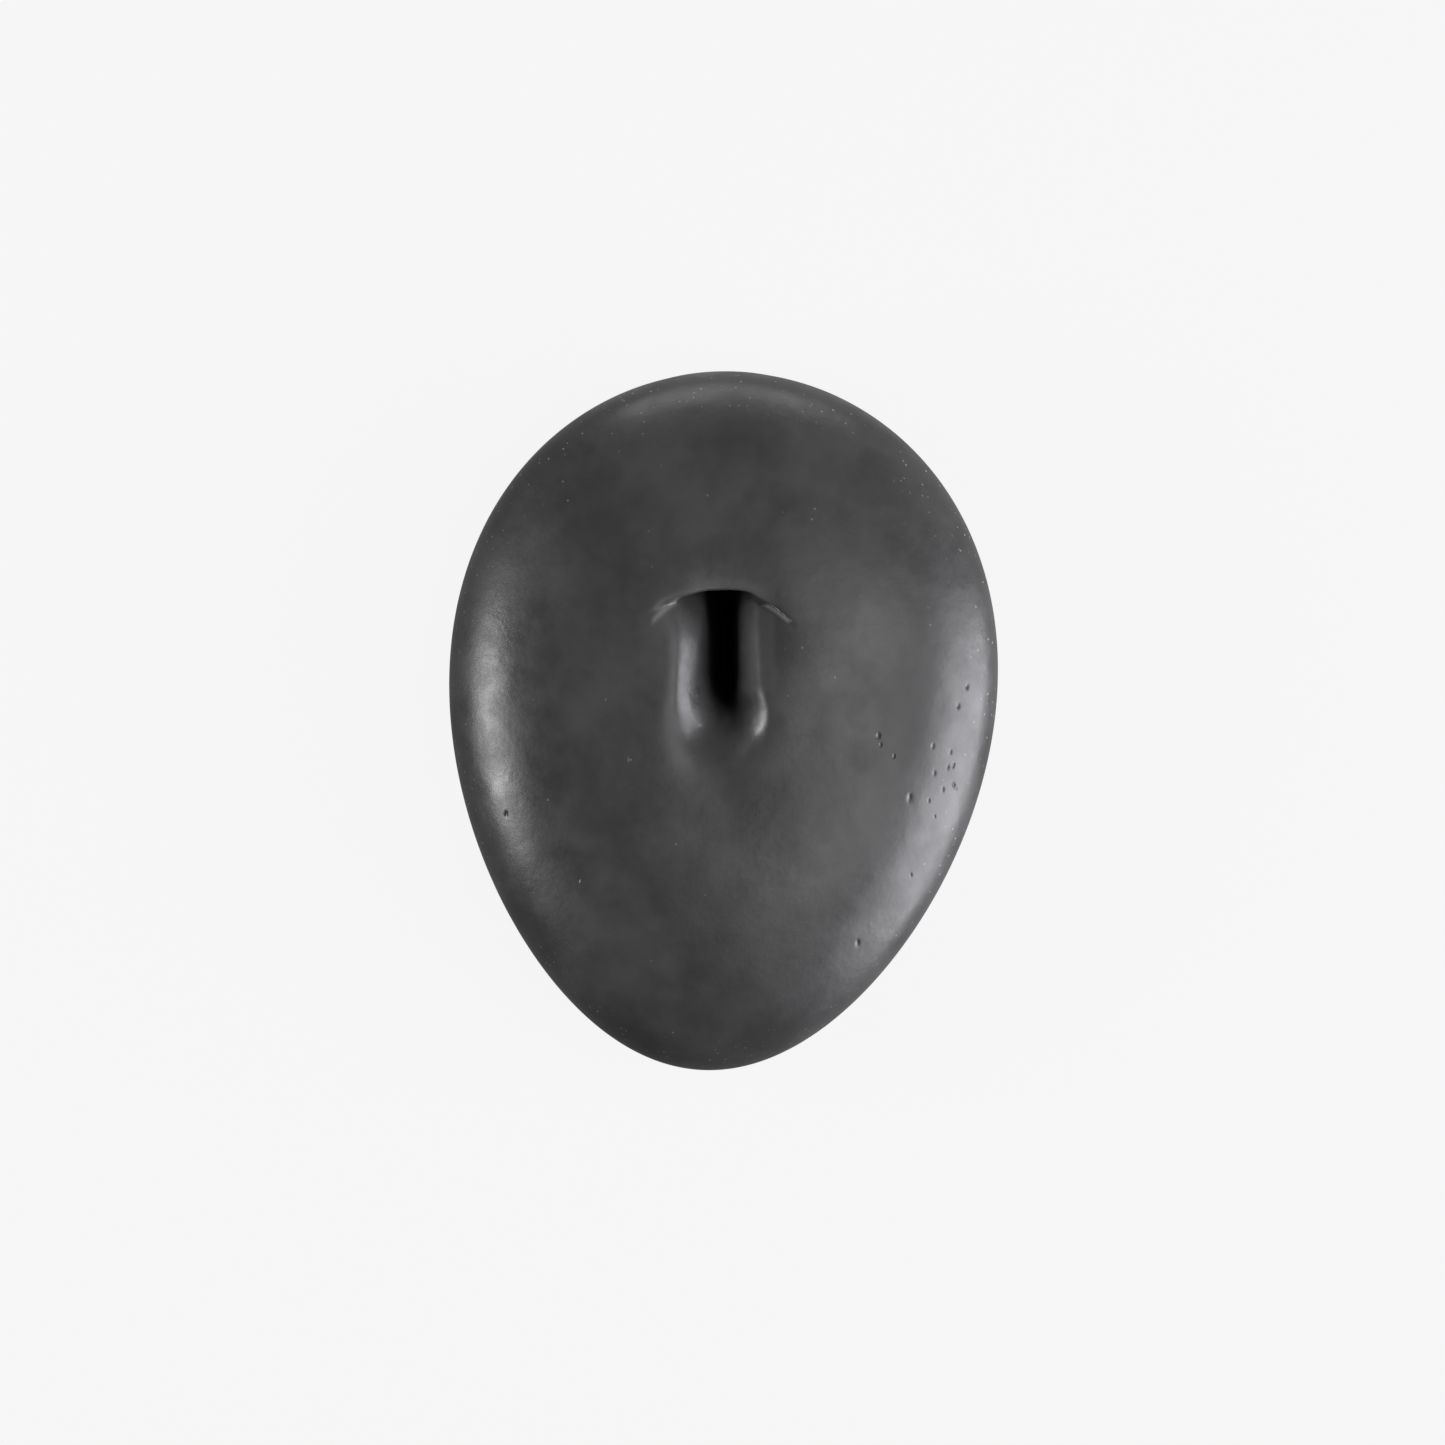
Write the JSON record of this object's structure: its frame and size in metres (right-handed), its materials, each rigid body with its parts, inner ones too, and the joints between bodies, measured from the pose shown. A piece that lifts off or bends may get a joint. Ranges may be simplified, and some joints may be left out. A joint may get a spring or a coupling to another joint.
{
  "type": "silicone navel display",
  "caption": "Egg-shaped soft silicone display piece with a life-size hooded navel moulded in its domed front and a flat back, for showing body jewellery.",
  "frame": {"origin": "middle of the flat back", "axes": "+Z out through the domed front, +Y towards the blunt end and the navel's hood, +X to the right when the front faces the viewer"},
  "size_m": [0.0628, 0.08, 0.0197],
  "materials": {
    "silicone": "satin"
  },
  "bodies": {
    "root": {"silicone_navel": "silicone"}
  },
  "joints": []
}
